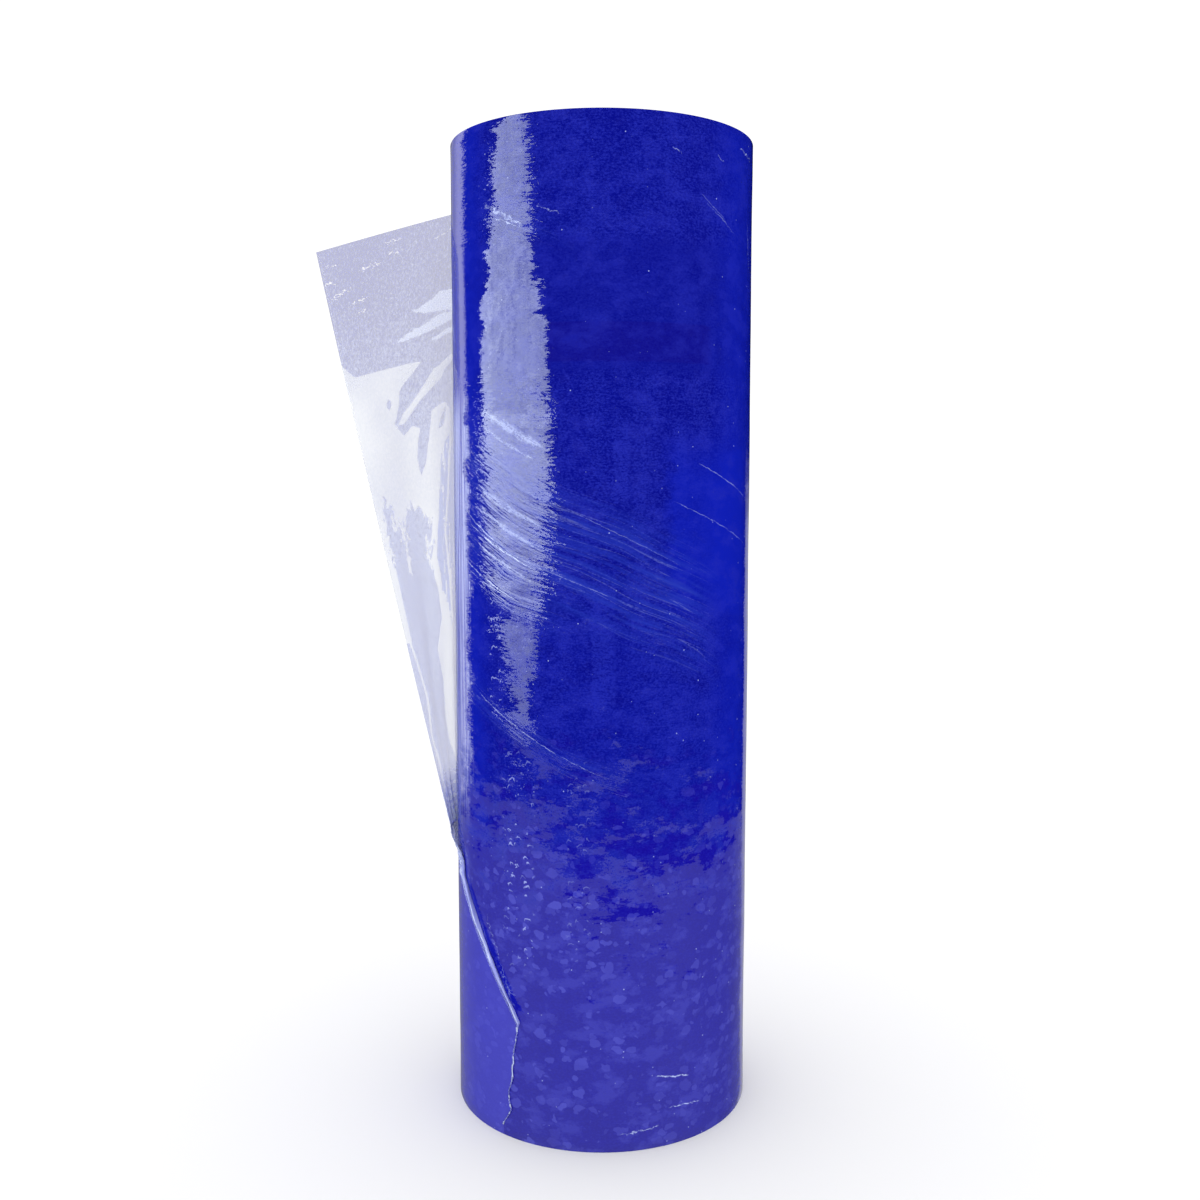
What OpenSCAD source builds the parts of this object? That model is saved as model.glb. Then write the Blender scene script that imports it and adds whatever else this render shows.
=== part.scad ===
// Hand roll of stretch wrap, standing on its end.
// The origin is on the roll's axis, level with what it stands on. The front of the roll faces -Y.
// An angle called a turn is counted from the back of the roll, round its left side, towards the front.

/* [Wound film] */
// Width of the film, which is the height of the roll
film_w = 457.2; // [300:0.1:760]
// Diameter over the wound film
roll_d = 142; // [110:1:220]
// Number of shallow ridges that the turns make on each end of the roll
ridges = 9; // [4:1:14]
// Depth of the grooves between those ridges
ridge_depth = 0.5; // [0.2:0.1:1.5]

/* [Core] */
// Bore of the cardboard tube
core_bore = 76.2; // [50:0.1:80]
// Wall of the cardboard tube
core_wall = 4; // [2:0.5:10]
// How far the tube stands out of the film at each end
core_show = 0; // [0:1:60]

/* [Loose end] */
// Reach of the loose corner, out from the roll's axis
tail_reach = 151.5; // [110:0.5:220]
// How far the loose corner hangs below the film's top edge
corner_drop = 35; // [0:1:80]
// Stretch of film at the back that is still level before it sags to the corner
level_run = 30; // [10:1:60]
// How far the cut edge bows forwards between the corner and the knot
edge_bow = 10; // [0:1:30]
// Thickness of the film's stand-in wall
tail_t = 0.6; // [0.4:0.1:1.5]
// Height of the folds in the loose film
fold_depth = 3; // [0:0.5:6]
// Number of folds across the loose film
folds = 3; // [1:1:5]

/* [Gathered edge] */
// Height of the knot where the loose film is gathered
knot_z = 134; // [110:1:180]
// Turn at which the knot lies on the roll
knot_turn = 97; // [85:1:110]
// How far the knot stands proud of the roll
knot_lift = 3.5; // [2:0.5:6]
// Part of a turn of film that is drawn together into the knot
gather_turn = 27; // [15:1:40]
// Thickness of the rope that the gathered edge makes
rope_d = 3.6; // [2:0.2:6]
// Height of the rope's lower end, where the cut edge lies flat again
cut_z = 56; // [20:1:90]
// Turn at which the cut edge lies on the roll
cut_turn = 148; // [125:1:165]

/* [Hidden] */
$fn = 96;

roll_r = roll_d / 2;
core_r = core_bore / 2 + core_wall;
film_top = core_show + film_w;
knot_top = core_show + knot_z;
cut_top = core_show + cut_z;

// The tail starts this far under the roll's surface, so that it grows out of it along a tangent
root_sink = 1.5;
// The tail's upper edge starts this far below the roll's end face
edge_inset = 0.6;
// The rope's middle lies this far outside the roll's surface
rope_lift = 0.3;
// Share of the rope's run in which the film is drawn together
gather_run = 0.3;
// How fast the line along which the film has peeled goes round the roll, as a power of the way down
peel_power = 1.5;
// How far the rope's run bows, as shares of the way round and of the way down
rope_bow_turn = 0.43;
rope_bow_fall = 0.25;
// The rope's lower end tapers to this share of its thickness
rope_taper = 0.5;
// Least half thickness of the rope's sides
rope_edge = 0.2;

sheet_steps = 34;
rope_steps = 18;
across_steps = 16;

function mix(a, b, k) = a + (b - a) * k;
function ease(k) = k * k * (3 - 2 * k);
function limit(k) = max(0, min(1, k));
function bezier(p, q, r, k) = p * pow(1 - k, 2) + q * 2 * k * (1 - k) + r * pow(k, 2);
function on_roll(turn, r, z) = [-r * sin(turn), r * cos(turn), z];
function heading(turn) = [-cos(turn), -sin(turn), 0];
function sideways(v) = [-v[1], v[0], 0] / norm([v[0], v[1]]);

corner = [-tail_reach, roll_r, film_top - corner_drop];
knot = on_roll(knot_turn, roll_r + knot_lift, knot_top);
bow = (corner + knot) / 2 - [0, edge_bow, 0];

// Loose sheet: u goes down from its upper edge (0) to the knot (1), and s out from the roll (0) to the cut edge (1)
function peel_turn(u) = (knot_turn - gather_turn) * pow(u, peel_power);
function sheet_root(u) = on_roll(peel_turn(u), roll_r - root_sink, mix(film_top - edge_inset, knot_top, u));
function sheet_edge(u) = bezier(corner, bow, knot, u);
function sheet_lead(u) = mix(level_run, norm(sheet_edge(u) - sheet_root(u)) / 2, u);
function sheet_curve(u, s) =
    bezier(sheet_root(u), sheet_root(u) + heading(peel_turn(u)) * sheet_lead(u), sheet_edge(u), s);
function fold(u, s) = fold_depth * sin(180 * u) * sin(180 * s) * sin(360 * folds * s + 150 * u);
function sheet_normal(u, s) = sideways(sheet_curve(u, min(1, s + 0.02)) - sheet_curve(u, max(0, s - 0.02)));
function sheet_point(u, s, side) =
    sheet_curve(u, s) + sheet_normal(u, s) * (fold(u, s) + side * tail_t / 2);

// Gathered edge: v goes from the knot (0) along the rope to its lower end (1)
function rope_turn(v) = bezier(knot_turn, mix(knot_turn, cut_turn, rope_bow_turn), cut_turn, v);
function rope_z(v) = bezier(knot_top, mix(knot_top, cut_top, rope_bow_fall), cut_top, v);
function gathered(v) = ease(limit(v / gather_run));
function rope_width(v) = mix(gather_turn, rope_d * 180 / (PI * roll_r), gathered(v));
function rope_half(v, s) = max(rope_edge, sin(180 * s) * rope_d / 2 * mix(1, rope_taper, v));
function rope_radius(v, s) = roll_r + mix(mix(-root_sink, knot_lift, s), rope_lift, gathered(v));
function rope_point(v, s, side) =
    on_roll(
        rope_turn(v) - rope_width(v) * (1 - s),
        rope_radius(v, s) - side * mix(tail_t / 2, rope_half(v, s), gathered(v)),
        rope_z(v)
    );

// One closed ring of points round the film at each station: out along one side and back along the other
function ring_shares() = [
    for (i = [0 : across_steps]) [i / across_steps, -1],
    for (i = [across_steps : -1 : 0]) [i / across_steps, 1]
];
function tail_rings() = concat(
    [for (i = [0 : sheet_steps]) [for (q = ring_shares()) sheet_point(i / sheet_steps, q[0], q[1])]],
    [for (i = [1 : rope_steps]) [for (q = ring_shares()) rope_point(i / rope_steps, q[0], q[1])]]
);

// A closed skin over a row of rings with the same number of points each
module skin(rings) {
    count = len(rings[0]);
    last = len(rings) - 1;
    points = [for (ring = rings) each ring];
    sides = [
        for (i = [0 : last - 1])
            for (j = [0 : count - 1])
                let (a = i * count + j, b = i * count + (j + 1) % count)
                    each [[a, b, b + count], [a, b + count, a + count]]
    ];
    half = count / 2;
    caps = [
        for (start = [0, last * count])
            for (j = [0 : half - 2])
                let (a = start + j, b = a + 1, c = start + count - 1 - j, d = c - 1)
                    each start == 0 ? [[a, c, d], [a, d, b]] : [[a, d, c], [a, b, d]]
    ];
    polyhedron(points = points, faces = concat(sides, caps));
}

// Section of the wound film: its end faces step in and out where the turns lie unevenly
module wound_section() {
    pitch = (roll_r - core_r) / (2 * ridges + 1);
    steps = [
        for (i = [0 : 2 * ridges])
            let (depth = i % 2 * ridge_depth)
                each [[core_r + i * pitch, depth], [core_r + (i + 1) * pitch, depth]]
    ];
    lower = [for (p = steps) [p[0], core_show + p[1]]];
    upper = [for (i = [len(steps) - 1 : -1 : 0]) [steps[i][0], film_top - steps[i][1]]];
    polygon(concat(lower, upper));
}

module film() {
    color("mediumblue") {
        rotate_extrude() wound_section();
        skin(tail_rings());
    }
}

module core() {
    color("burlywood")
        rotate_extrude()
            translate([core_bore / 2, 0])
                square([core_wall, film_w + 2 * core_show]);
}

film();
core();
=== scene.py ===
import math

import bmesh
import bpy
import numpy as np
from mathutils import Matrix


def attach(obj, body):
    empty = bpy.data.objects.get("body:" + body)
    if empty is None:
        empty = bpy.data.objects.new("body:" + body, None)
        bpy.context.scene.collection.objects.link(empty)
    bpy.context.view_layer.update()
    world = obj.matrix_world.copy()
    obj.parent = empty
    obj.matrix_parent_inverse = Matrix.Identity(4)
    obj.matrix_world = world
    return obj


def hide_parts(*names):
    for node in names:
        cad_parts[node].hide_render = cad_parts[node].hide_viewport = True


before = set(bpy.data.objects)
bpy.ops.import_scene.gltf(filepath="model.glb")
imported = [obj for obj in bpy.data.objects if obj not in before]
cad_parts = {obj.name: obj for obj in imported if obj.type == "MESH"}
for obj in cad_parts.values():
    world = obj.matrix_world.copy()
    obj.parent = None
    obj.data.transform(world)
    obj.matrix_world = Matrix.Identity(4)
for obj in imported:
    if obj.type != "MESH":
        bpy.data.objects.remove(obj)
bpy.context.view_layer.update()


# Cardboard tube.
# The tube is brown paper glued in a spiral round a mandrel, with a 3 inch bore and a wall of 4 mm.
# It is cut to the width of the film, and the film is wound straight onto it.
TUBE_BORE = 0.0381
TUBE_OUTSIDE = 0.0421
FILM_WIDTH = 0.4572


def select_nothing():
    bpy.ops.object.select_all(action="DESELECT")


def start_round_piece(name, sides, radius):
    """A cylinder as high as the film is wide, standing on the floor, left in edit mode with nothing selected."""
    select_nothing()
    bpy.ops.mesh.primitive_cylinder_add(
        vertices=sides, radius=radius, depth=FILM_WIDTH, end_fill_type="NGON", location=(0, 0, FILM_WIDTH / 2)
    )
    piece = bpy.context.object
    piece.name = name
    piece.data.name = name
    bpy.ops.object.transform_apply(location=True, rotation=True, scale=True)
    bpy.ops.object.mode_set(mode="EDIT")
    bpy.ops.mesh.select_all(action="DESELECT")
    return piece


def select_faces(piece, wanted):
    bpy.ops.mesh.select_mode(type="FACE")
    mesh = bmesh.from_edit_mesh(piece.data)
    for face in mesh.faces:
        face.select_set(wanted(face))
    mesh.select_flush_mode()
    bmesh.update_edit_mesh(piece.data)


def select_edges(piece, wanted):
    bpy.ops.mesh.select_mode(type="EDGE")
    mesh = bmesh.from_edit_mesh(piece.data)
    for edge in mesh.edges:
        edge.select_set(wanted(edge))
    mesh.select_flush_mode()
    bmesh.update_edit_mesh(piece.data)


def is_end_face(face):
    return abs(face.normal.z) > 0.9


def is_rim(edge, radius):
    first, second = (vertex.co for vertex in edge.verts)
    level = abs(first.z - second.z) < 1e-6
    return level and all(abs(math.hypot(p.x, p.y) - radius) < 1e-5 for p in (first, second))


def is_end_rim(edge, radius):
    height = edge.verts[0].co.z
    return is_rim(edge, radius) and (height < 1e-6 or height > FILM_WIDTH - 1e-6)


def finish_piece(piece, angle=35):
    bpy.ops.object.mode_set(mode="OBJECT")
    select_nothing()
    piece.select_set(True)
    bpy.context.view_layer.objects.active = piece
    bpy.ops.object.shade_smooth_by_angle(angle=math.radians(angle))


tube = start_round_piece("cardboard_tube", 160, TUBE_OUTSIDE)
select_faces(tube, is_end_face)
bpy.ops.mesh.inset(thickness=TUBE_OUTSIDE - TUBE_BORE, use_even_offset=True)
bpy.ops.mesh.bridge_edge_loops()
select_edges(tube, lambda edge: any(is_end_rim(edge, r) for r in (TUBE_BORE, TUBE_OUTSIDE)))
bpy.ops.mesh.bevel(offset=0.0003, segments=2, affect="EDGES")
finish_piece(tube)


def add_node(tree, kind, inputs=None, **settings):
    """A node with its settings; each input is a plain value or the output that feeds it."""
    node = tree.nodes.new(kind)
    for setting, value in settings.items():
        setattr(node, setting, value)
    for socket, value in (inputs or {}).items():
        if isinstance(value, bpy.types.NodeSocket):
            tree.links.new(value, node.inputs[socket])
        else:
            node.inputs[socket].default_value = value
    return node


def calc(tree, operation, a, b=0.0, c=0.0):
    return add_node(tree, "ShaderNodeMath", {0: a, 1: b, 2: c}, operation=operation).outputs[0]


def ramp(tree, value, start, end, low=0.0, high=1.0):
    """low until start, high from end, and smooth between."""
    node = add_node(
        tree,
        "ShaderNodeMapRange",
        {"Value": value, "From Min": start, "From Max": end, "To Min": low, "To Max": high},
        interpolation_type="SMOOTHSTEP",
    )
    return node.outputs["Result"]


def colours(tree, share, first, second):
    """first where share is 0 and second where it is 1."""
    node = tree.nodes.new("ShaderNodeMix")
    node.data_type = "RGBA"
    for socket, value in ((0, share), (6, first), (7, second)):
        if isinstance(value, bpy.types.NodeSocket):
            tree.links.new(value, node.inputs[socket])
        elif socket == 0:
            node.inputs[socket].default_value = value
        else:
            node.inputs[socket].default_value = (*value, 1)
    return node.outputs[2]


def stretched(tree, place, x, y, z):
    return add_node(
        tree, "ShaderNodeVectorMath", {0: place, 1: (x, y, z)}, operation="MULTIPLY"
    ).outputs[0]


def cloud(tree, place, scale, detail=3.0, roughness=0.5, dimensions="3D"):
    inputs = {"Vector": place, "Scale": scale, "Detail": detail, "Roughness": roughness}
    return add_node(tree, "ShaderNodeTexNoise", inputs, noise_dimensions=dimensions).outputs["Fac"]


def start_material(name):
    """A material with one Principled shader; gives the material, its tree, the shader and the object's own place."""
    material = bpy.data.materials.new(name)
    material.use_nodes = True
    tree = material.node_tree
    shader = next(node for node in tree.nodes if node.type == "BSDF_PRINCIPLED")
    place = tree.nodes.new("ShaderNodeTexCoord").outputs["Object"]
    return material, tree, shader, place


def raise_surface(tree, shader, height, distance):
    bump = add_node(tree, "ShaderNodeBump", {"Height": height, "Distance": distance, "Strength": 1.0})
    tree.links.new(bump.outputs["Normal"], shader.inputs["Normal"])


def round_the_axis(tree, place):
    """Distance from the axis, the angle from the front, and the height."""
    axes = add_node(tree, "ShaderNodeSeparateXYZ", {0: place}).outputs
    front = calc(tree, "MULTIPLY", axes["Y"], -1.0)
    across = calc(tree, "MULTIPLY", axes["X"], axes["X"])
    radius = calc(tree, "SQRT", calc(tree, "MULTIPLY_ADD", front, front, across))
    return radius, calc(tree, "ARCTAN2", axes["X"], front), axes["Z"]


# Brown paper: fibres along the strips, a dark seam where two strips of the spiral meet, and plies at the cut ends
PAPER = (0.42, 0.27, 0.14)
PAPER_DARK = (0.30, 0.18, 0.085)
SEAM_BROWN = (0.16, 0.09, 0.04)
STRIP_RISE = 0.125
PLY = 0.0005

paper, tree, shader, place = start_material("tube_paper")
radius, angle, height = round_the_axis(tree, place)
turn = calc(tree, "DIVIDE", angle, 2 * math.pi)
along_strip = calc(tree, "FRACT", calc(tree, "SUBTRACT", calc(tree, "DIVIDE", height, STRIP_RISE), turn))
seam = ramp(tree, calc(tree, "ABSOLUTE", calc(tree, "SUBTRACT", along_strip, 0.5)), 0.004, 0.008, 1.0, 0.0)
fibres = cloud(tree, stretched(tree, place, 1, 1, 3), 420, 5, 0.7)
tone = cloud(tree, place, 40, 3)
ply = ramp(tree, calc(tree, "PINGPONG", radius, PLY), 0.1 * PLY, 0.5 * PLY)
from_middle = calc(tree, "ABSOLUTE", calc(tree, "SUBTRACT", height, FILM_WIDTH / 2))
on_end = ramp(tree, from_middle, FILM_WIDTH / 2 - 3e-4, FILM_WIDTH / 2 - 1e-4)
ends = calc(tree, "MULTIPLY", ply, on_end)
shade = calc(tree, "ADD", calc(tree, "MULTIPLY", fibres, 0.55), calc(tree, "MULTIPLY", tone, 0.5))
base = colours(tree, shade, PAPER_DARK, PAPER)
base = colours(tree, calc(tree, "MAXIMUM", seam, calc(tree, "MULTIPLY", ends, 0.5)), base, SEAM_BROWN)
tree.links.new(base, shader.inputs["Base Color"])
shader.inputs["Roughness"].default_value = 0.88
shader.inputs["Specular IOR Level"].default_value = 0.25
relief = calc(tree, "SUBTRACT", fibres, calc(tree, "ADD", seam, ends))
raise_surface(tree, shader, relief, 0.00012)
tube.data.materials.append(paper)

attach(tube, "root")
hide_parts("core")


# Wound film.
# About 1300 turns of blue cling film, each 20 micrometres thick, wound under tension onto the tube.
# The turns cling by themselves; their edges lie a little unevenly, which leaves shallow rings on both ends.
ROLL_RADIUS = 0.071
WALL_SIDES = 288
WALL_LEVELS = 143
RINGS = (
    (0.0004, 0.0), (0.0021, 0.00025), (0.0007, -0.00045), (0.0034, 0.0002), (0.0005, 0.00015), (0.0029, -0.0003),
    (0.0009, 0.0004), (0.0023, -0.0002), (0.0006, 0.00025), (0.0038, -0.0003), (0.0004, 0.00035), (0.0026, -0.00025),
    (0.0011, 0.0003), (0.0031, -0.0004),
)

wound = start_round_piece("wound_film", WALL_SIDES, ROLL_RADIUS)
select_edges(wound, lambda edge: abs(edge.verts[0].co.z - edge.verts[1].co.z) > 0.1)
bpy.ops.mesh.subdivide(number_cuts=WALL_LEVELS)
select_faces(wound, is_end_face)
left = ROLL_RADIUS
for width, step in RINGS:
    bpy.ops.mesh.inset(thickness=width, use_even_offset=True)
    left -= width
    if step:
        bpy.ops.mesh.inset(thickness=0.00015, use_even_offset=True)
        left -= 0.00015
        bpy.ops.transform.shrink_fatten(value=step)
bpy.ops.mesh.inset(thickness=left - TUBE_OUTSIDE, use_even_offset=True)
bpy.ops.mesh.bridge_edge_loops()
select_edges(wound, lambda edge: is_end_rim(edge, ROLL_RADIUS))
bpy.ops.mesh.bevel(offset=0.00025, segments=2, affect="EDGES")
finish_piece(wound)

# The wall isn't quite true: the tension of the winding varies, so it swells and dips by a few tenths of a millimetre
RIM_FADE = 0.03
wall_only = wound.vertex_groups.new(name="wall")
for vertex in wound.data.vertices:
    from_rim = min(vertex.co.z, FILM_WIDTH - vertex.co.z)
    if math.hypot(vertex.co.x, vertex.co.y) > ROLL_RADIUS - 1e-4 and from_rim > 0.001:
        wall_only.add([vertex.index], min(1.0, from_rim / RIM_FADE), "REPLACE")
for name, size, swell in (("slow_swell", 0.08, 0.0006), ("quick_swell", 0.020, 0.00016)):
    texture = bpy.data.textures.new(name, "CLOUDS")
    texture.noise_scale = size
    texture.noise_depth = 1
    displace = wound.modifiers.new(name, "DISPLACE")
    displace.texture = texture
    displace.texture_coords = "LOCAL"
    displace.strength = swell
    displace.mid_level = 0.6
    displace.vertex_group = wall_only.name
    bpy.ops.object.modifier_apply(modifier=name)

# Where the outermost turn ends, as turns counted from the back, in degrees, and heights in millimetres: down the
# line along which the film has peeled off, through the knot, and on down the cut edge that lies on the roll.
# On its left there is one layer more, so the film looks a little paler there.
CUT_LINE = (
    (0, 457), (10, 369), (25, 295), (45, 217), (70, 136), (97, 134), (108.4, 121.8), (120.7, 104.8), (133.9, 82.8),
    (148, 56), (145.6, 40), (145, 31), (143, 20), (144.4, 14), (140, 5),
)


def past_cut_line(point):
    """Millimetres to the left of the cut line, and less than 0 to its right."""
    arc = math.degrees(math.atan2(point.x, -point.y)) + 180
    arc = math.radians(arc if arc < 300 else arc - 360) * ROLL_RADIUS * 1000
    height = point.z * 1000
    line = [(math.radians(turn) * ROLL_RADIUS * 1000, level) for turn, level in CUT_LINE]
    nearest = 1e9
    for (ax, az), (bx, bz) in zip(line[:-1], line[1:]):
        dx, dz = bx - ax, bz - az
        k = min(max(((arc - ax) * dx + (height - az) * dz) / (dx * dx + dz * dz), 0), 1)
        nearest = min(nearest, math.hypot(arc - ax - dx * k, height - az - dz * k))
    upwards = line[::-1]
    edge = np.interp(height, [level for along, level in upwards], [along for along, level in upwards])
    return nearest if arc < edge else -nearest


cut_side = wound.data.attributes.new("past_cut_line", "FLOAT", "POINT")
cut_side.data.foreach_set("value", [past_cut_line(vertex.co) for vertex in wound.data.vertices])


def moved(tree, place, offset):
    return add_node(tree, "ShaderNodeVectorMath", {0: place, 1: offset}, operation="ADD").outputs[0]


def parts_of(tree, colour):
    return add_node(tree, "ShaderNodeSeparateColor", {0: colour}).outputs


def coloured_cloud(tree, place, scale, detail):
    """A cloud whose three colours differ, to move a place or lean a surface every way."""
    inputs = {"Vector": place, "Scale": scale, "Detail": detail}
    return add_node(tree, "ShaderNodeTexNoise", inputs).outputs["Color"]


# What cling film shows where it lies on film: threads along the winding, cloudy blotches, a fine grain, small
# specks, and pockets and rounded islands of shut-in air
cling = bpy.data.node_groups.new("cling_marks", "ShaderNodeTree")
cling.interface.new_socket("Place", in_out="INPUT", socket_type="NodeSocketVector")
cling.interface.new_socket("Island Size", in_out="INPUT", socket_type="NodeSocketFloat")
for output in ("Threads", "Blotches", "Grain", "Pockets", "Islands", "Specks"):
    cling.interface.new_socket(output, in_out="OUTPUT", socket_type="NodeSocketFloat")
given = cling.nodes.new("NodeGroupInput").outputs
made = cling.nodes.new("NodeGroupOutput").inputs
threads = cloud(cling, stretched(cling, given["Place"], 1, 1, 6.5), 230, 4, 0.65)
blotches = cloud(cling, stretched(cling, given["Place"], 1, 1, 1.6), 75, 4, 0.62)
grain = cloud(cling, stretched(cling, given["Place"], 1, 1, 1.5), 900, 2, 0.7)
pockets = calc(cling, "ADD", ramp(cling, blotches, 0.515, 0.53), ramp(cling, blotches, 0.57, 0.58))
wobble = stretched(cling, coloured_cloud(cling, given["Place"], 210.0, 2.0), 0.006, 0.006, 0.005)
wobbly = stretched(cling, moved(cling, given["Place"], wobble), 1, 1, 1.4)
cells = add_node(
    cling, "ShaderNodeTexVoronoi", {"Vector": wobbly, "Scale": calc(cling, "DIVIDE", 0.5, given["Island Size"])}
)
pick = parts_of(cling, cells.outputs["Color"])
reach = calc(cling, "MULTIPLY_ADD", calc(cling, "POWER", pick[0], 1.3), 0.58, 0.03)
share = calc(cling, "DIVIDE", cells.outputs["Distance"], reach)
islands = ramp(cling, share, 0.90, 1.0, 1.0, 0.0)
islands = calc(cling, "MULTIPLY", islands, calc(cling, "MULTIPLY_ADD", pick[1], 0.8, 0.2))
dots = add_node(cling, "ShaderNodeTexVoronoi", {"Vector": given["Place"], "Scale": 300.0})
dot_near = ramp(cling, dots.outputs["Distance"], 0.06, 0.11, 1.0, 0.0)
dot_rare = ramp(cling, parts_of(cling, dots.outputs["Color"])[0], 0.74, 1.0)
for output, value in (
    ("Threads", threads), ("Blotches", blotches), ("Grain", grain), ("Pockets", pockets), ("Islands", islands),
    ("Specks", calc(cling, "MULTIPLY", dot_near, dot_rare)),
):
    cling.links.new(value, made[output])


def cling_marks(tree, place, island_size):
    node = tree.nodes.new("ShaderNodeGroup")
    node.node_tree = cling
    tree.links.new(place, node.inputs["Place"])
    node.inputs["Island Size"].default_value = island_size
    return node.outputs


def belt(tree, value, low, high, soft):
    """1 between low and high, falling to 0 over soft on both sides."""
    return calc(
        tree, "MULTIPLY", ramp(tree, value, low - soft, low), ramp(tree, value, high, high + soft, 1.0, 0.0)
    )


def total(tree, *terms):
    """The sum of the terms, each a value, or a value and the number that it is multiplied by."""
    result = 0.0
    for term in terms:
        value, share = term if isinstance(term, tuple) else (term, 1.0)
        result = calc(tree, "MULTIPLY_ADD", value, share, result)
    return result


def both(tree, first, second):
    return calc(tree, "MULTIPLY", first, second)


def within(tree, value, low=0.0, high=1.0):
    return calc(tree, "MINIMUM", calc(tree, "MAXIMUM", value, low), high)


DEEP_BLUE = (0.0026, 0.0043, 0.235)
BRIGHT_BLUE = (0.0145, 0.0215, 0.375)
SIDE_LIT_BLUE = (0.0048, 0.0125, 0.42)
ISLAND_BLUE = (0.064, 0.070, 0.54)
HAZE_AND_FLOOR_SHEEN_BLUE = (0.013, 0.003, 0.34)
LAYER_BLUE = (0.050, 0.0515, 0.54)
SHEAF_BLUE = (0.018, 0.036, 0.43)
HIGHLIGHT_AND_SPECK_WHITE = (0.46, 0.54, 0.90)
LOOSE_TURNS = (0.50, 0.56, 0.98)
BELT_BLUE = (0.007, 0.004, 0.21)
ROPE_SHADOW_BLUE = (0.003, 0.008, 0.40)
BLISTER_HIGHLIGHT_BLUE = (0.36, 0.42, 0.88)

# Soft paler columns: where each starts and ends round the wall and up it, in metres
PALE_COLUMNS = ((0.006, 0.011, 0.298, 0.324), (0.034, 0.038, 0.296, 0.322), (-0.003, 0.005, 0.206, 0.254))

wall, tree, shader, place = start_material("wound_film_wall")
marks = cling_marks(tree, place, 0.0030)
radius, angle, height = round_the_axis(tree, place)
arc = calc(tree, "MULTIPLY", angle, ROLL_RADIUS)
flat_place = add_node(tree, "ShaderNodeCombineXYZ", {"X": arc, "Y": height, "Z": 0.0}).outputs[0]
drift = calc(tree, "MULTIPLY_ADD", cloud(tree, flat_place, 14, 1, 0.5, "2D"), 0.010, -0.005)

# Creases where the film was stretched askew: they run down to the right, in a broad sheaf round the middle
# of the roll and a few small ones
askew = total(tree, (height, 0.91), (arc, 0.41), drift)
down_right = total(tree, (arc, 0.91), (height, -0.41))


def along_creases(tree, per_metre_along, per_metre_across):
    x, y = calc(tree, "MULTIPLY", down_right, per_metre_along), calc(tree, "MULTIPLY", askew, per_metre_across)
    return add_node(tree, "ShaderNodeCombineXYZ", {"X": x, "Y": y, "Z": 0.0}).outputs[0]


broad_creases = cloud(tree, along_creases(tree, 22.0, 360.0), 1.0, 2, 0.6, "2D")
fine_creases = cloud(tree, along_creases(tree, 120.0, 1000.0), 1.0, 2, 0.65, "2D")
long_lines = cloud(tree, along_creases(tree, 7.0, 240.0), 1.0, 1, 0.5, "2D")
long_lines = ramp(tree, calc(tree, "ABSOLUTE", calc(tree, "SUBTRACT", long_lines, 0.5)), 0.0, 0.018, 1.0, 0.0)
sheaves = 0.0
for low, high, soft, from_arc, to_arc, weight in (
    (0.226, 0.256, 0.018, -0.10, 0.034, 1.0),
    (0.208, 0.213, 0.005, -0.10, -0.036, 0.9),
    (0.156, 0.161, 0.006, -0.072, -0.006, 0.6),
    (0.357, 0.368, 0.004, -0.046, -0.034, 0.3),
):
    sheaf = both(tree, belt(tree, askew, low, high, soft), belt(tree, arc, from_arc, to_arc, 0.030))
    sheaves = calc(tree, "MAXIMUM", sheaves, calc(tree, "MULTIPLY", sheaf, weight))

# Painted highlights along the sharpest creases and a few scuffs near the foot, one by one: the two ends of each,
# round the wall and up in millimetres, its half width, how white its painted highlight is and how much it crinkles
SHARP_LINES = (
    (-65, 279.5, -27, 261.7, 0.34, 1.0, 0.15), (-77, 289.6, -47, 272.1, 0.28, 0.8, 0.15),
    (-47, 272.1, 9, 250.1, 0.20, 0.35, 0.15), (-72, 283, -40, 268.5, 0.20, 0.9, 0.15),
    (-22, 293.5, 37, 264.9, 0.18, 0.25, 0.15), (45, 310, 85, 294.5, 0.20, 0.5, 0.2),
    (32, 293.4, 86, 272.6, 0.20, 0.4, 0.2),
    (-79, 267.4, -39, 249.1, 0.32, 0.9, 0.15), (-74, 262, -44, 250.5, 0.20, 0.7, 0.15),
    (-65.5, 206.2, -19, 181.5, 0.26, 0.6, 0.2), (-19, 181.5, 3, 171.5, 0.20, 0.4, 0.2),
    (-51, 415.6, -38.6, 410.8, 0.26, 0.8, 0.5), (-29, 418.7, -17.8, 414.7, 0.20, 0.5, 0.4),
    (-58, 422, -35, 411, 0.9, 0.8, 0.9), (-62, 334, -25, 316, 2.0, 0.5, 0.4), (-60, 326, -30, 311, 0.7, 0.4, 0.3),
    (-66, 300, -26, 282, 1.7, 0.4, 0.3), (-64, 290, -27, 272, 1.2, 0.45, 0.3), (-64, 274, -30, 257, 0.9, 0.45, 0.3),
    (24.6, 34, 43, 30.5, 0.36, 1.0, 0.3), (31, 18, 49.5, 16.5, 0.30, 1.0, 0.3), (8, 8, 27, 10.4, 0.36, 0.8, 0.5),
    (-60.5, 103, -51, 82, 0.24, 0.45, 1.0), (-53, 85, -41.5, 62, 0.22, 0.45, 1.0),
    (74, 449.5, 90, 447, 0.30, 0.9, 0.5), (86, 419, 90, 398, 0.24, 0.6, 0.4), (49, 422, 70, 411, 0.16, 0.35, 0.3),
    (46, 425.5, 62, 416, 0.16, 0.3, 0.3), (31, 443, 36, 441, 0.30, 0.5, 0.8), (56, 443, 60, 440, 0.30, 0.5, 0.8),
)
unevenness = calc(tree, "SUBTRACT", cloud(tree, flat_place, 330, 2, 0.6, "2D"), 0.5)
# Faint painted highlights along the long creases of the sheaves, then the painted highlights of the sharp lines
crease_highlights = both(tree, both(tree, long_lines, sheaves), 0.13)
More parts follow.
